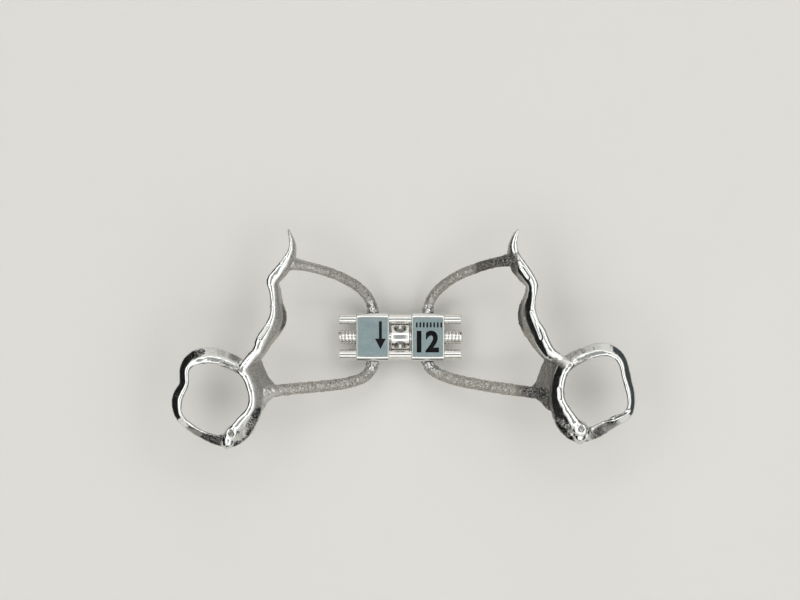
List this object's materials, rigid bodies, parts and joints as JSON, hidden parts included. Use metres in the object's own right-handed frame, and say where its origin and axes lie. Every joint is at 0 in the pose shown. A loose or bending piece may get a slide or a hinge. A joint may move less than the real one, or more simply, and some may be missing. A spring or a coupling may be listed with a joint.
{
  "type": "palatal expander",
  "caption": "Rapid palatal expander: a double-threaded screw with guide pins drives two molar bands and lingual straps apart.",
  "frame": {"origin": "midway between the two molar bands' openings, at half the bands' height", "axes": "+X across the palate to the right of someone who looks at the biting side, +Y towards the front teeth, +Z towards the biting side"},
  "size_m": [0.0522, 0.0247, 0.0103],
  "materials": {
    "housing_steel": "polished stainless steel with a matt blue-grey marked plate on top",
    "turned_steel": "turned and ground stainless steel, bright",
    "sintered_cobalt_chrome": "laser-sintered cobalt-chrome, mirror polished at the bands and ridges, grainy on the arms"
  },
  "bodies": {
    "guide_pins": {"front_guide_pin": "turned_steel", "rear_guide_pin": "turned_steel"},
    "spindle": {"expansion_spindle": "turned_steel"},
    "left_half": {"left_housing": "housing_steel", "left_framework": "sintered_cobalt_chrome"},
    "right_half": {"right_housing": "housing_steel", "right_framework": "sintered_cobalt_chrome"}
  },
  "joints": [
    {"name": "spindle_turn", "type": "hinge", "parent": "guide_pins", "child": "spindle", "pos_m": [0, 0.0062, -0.0065], "axis": [1, 0, 0], "range_deg": [0, 4500]},
    {"name": "left_half_slide", "type": "slide", "parent": "guide_pins", "child": "left_half", "axis": [-1, 0, 0], "range_m": [0, 0.005]},
    {"name": "right_half_slide", "type": "slide", "parent": "guide_pins", "child": "right_half", "axis": [1, 0, 0], "range_m": [0, 0.005]}
  ],
  "couplings": [
    {"joint": "right_half_slide", "follows": "left_half_slide", "ratio": 1},
    {"joint": "spindle_turn", "follows": "left_half_slide", "rad_per_m": 15708}
  ]
}
